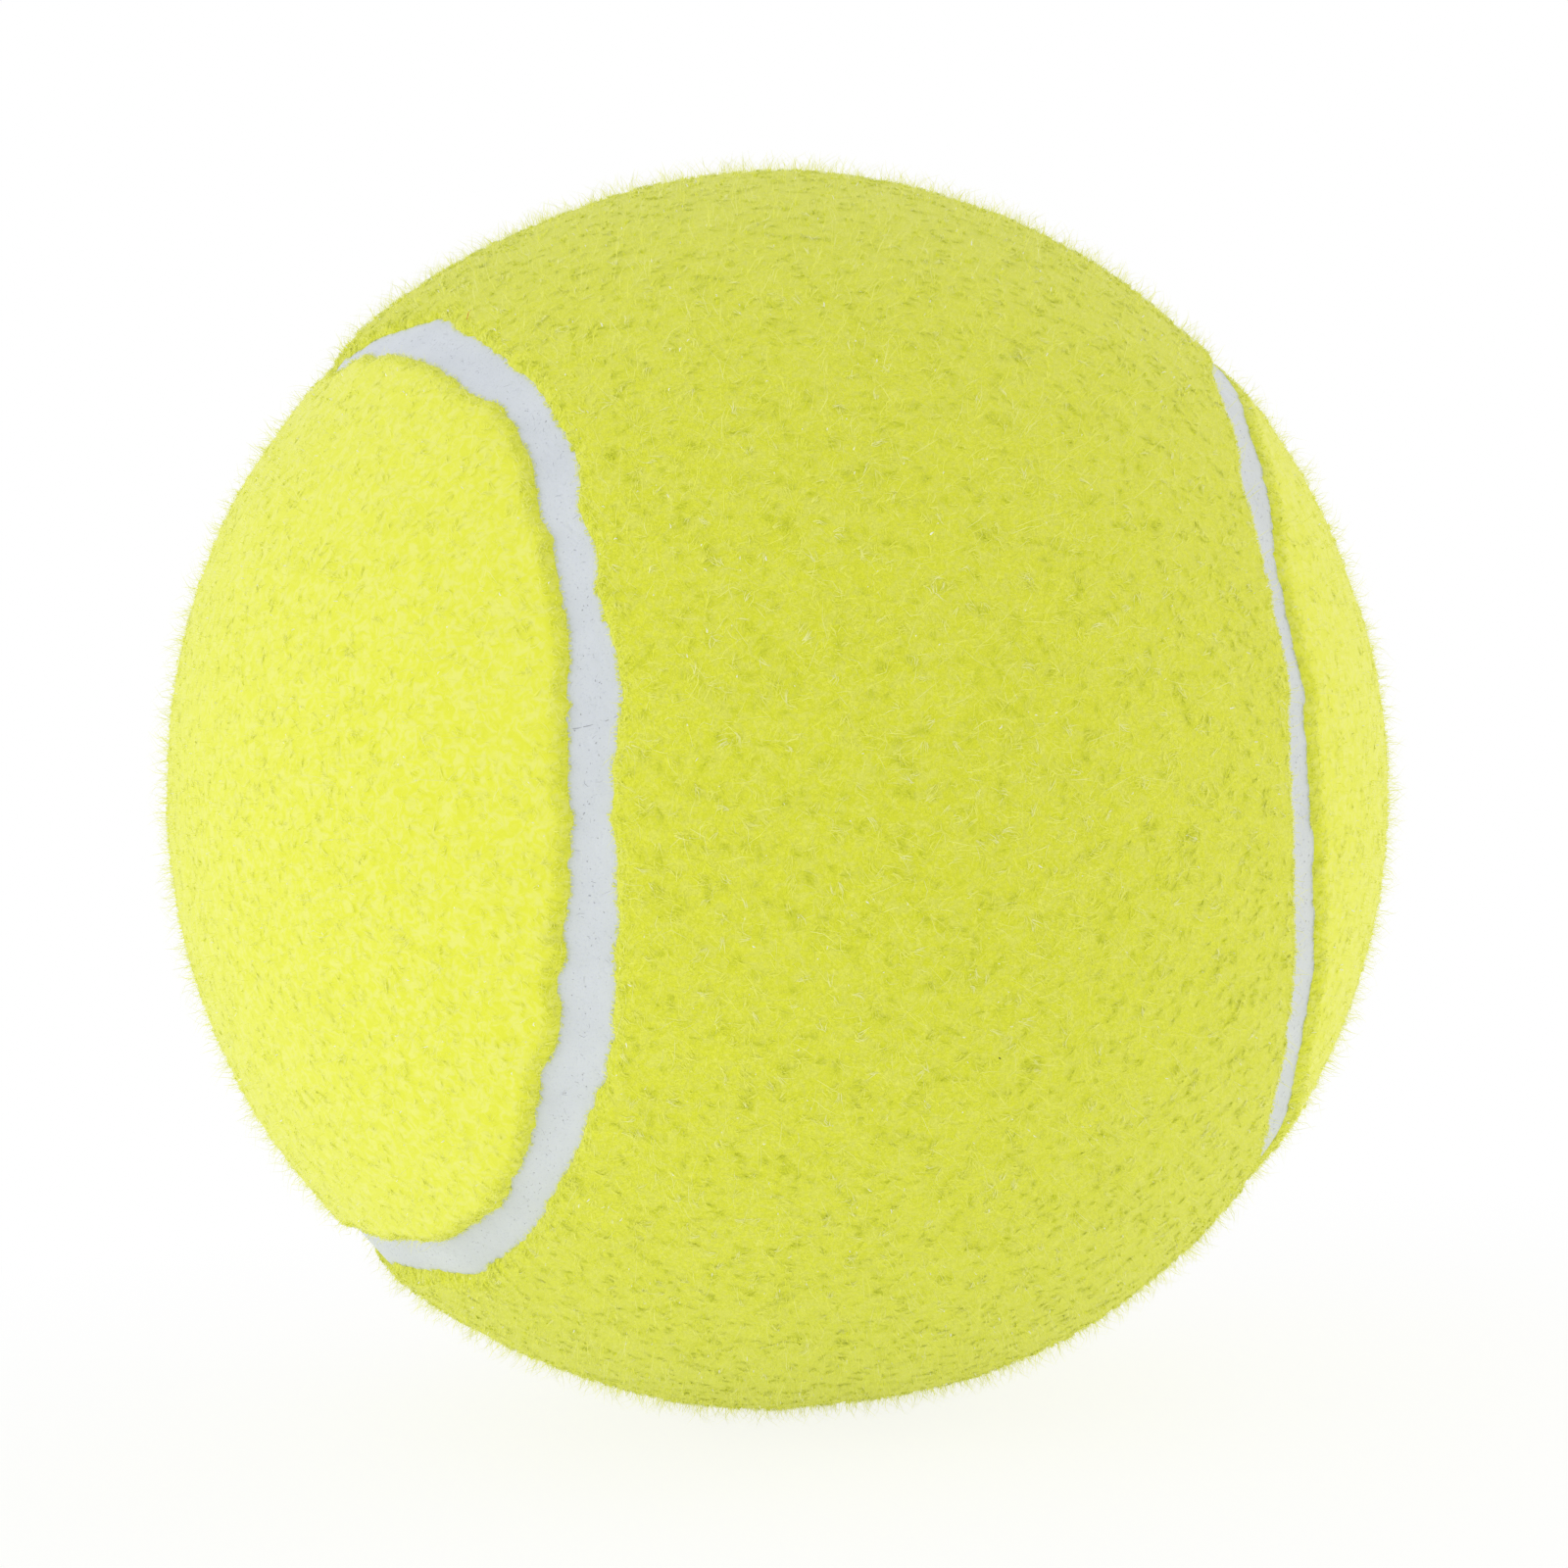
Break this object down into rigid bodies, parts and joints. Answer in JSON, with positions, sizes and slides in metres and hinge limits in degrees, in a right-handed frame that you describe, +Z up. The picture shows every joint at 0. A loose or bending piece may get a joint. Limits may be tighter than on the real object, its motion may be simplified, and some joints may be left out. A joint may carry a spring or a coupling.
{
  "type": "tennis ball",
  "caption": "Hollow rubber ball covered in two interlocking dog-bone panels of yellow felt, with a pale rubber seam in the valley between them.",
  "frame": {"origin": "the centre of the ball", "axes": "+Z is up as the ball lies in the picture; -Y runs out through the middle of the waist of the front felt panel, whose two lobes lie over +Z and -Z; +X and -X run out through the two lobes of the back panel"},
  "size_m": [0.067, 0.067, 0.067],
  "materials": {
    "core_rubber": "matte",
    "joint_cement": "satin",
    "rubber_solution": "satin",
    "base_cloth": "matte",
    "felt_nap": "matte",
    "seam_rubber": "matte"
  },
  "bodies": {
    "root": {"core_half_upper": "core_rubber", "core_half_lower": "core_rubber", "core_joint_cement": "joint_cement", "core_cement_coat": "rubber_solution", "felt_base_front": "base_cloth", "felt_base_back": "base_cloth", "felt_nap_front": "felt_nap", "felt_nap_back": "felt_nap", "seam_rubber": "seam_rubber"}
  },
  "joints": []
}
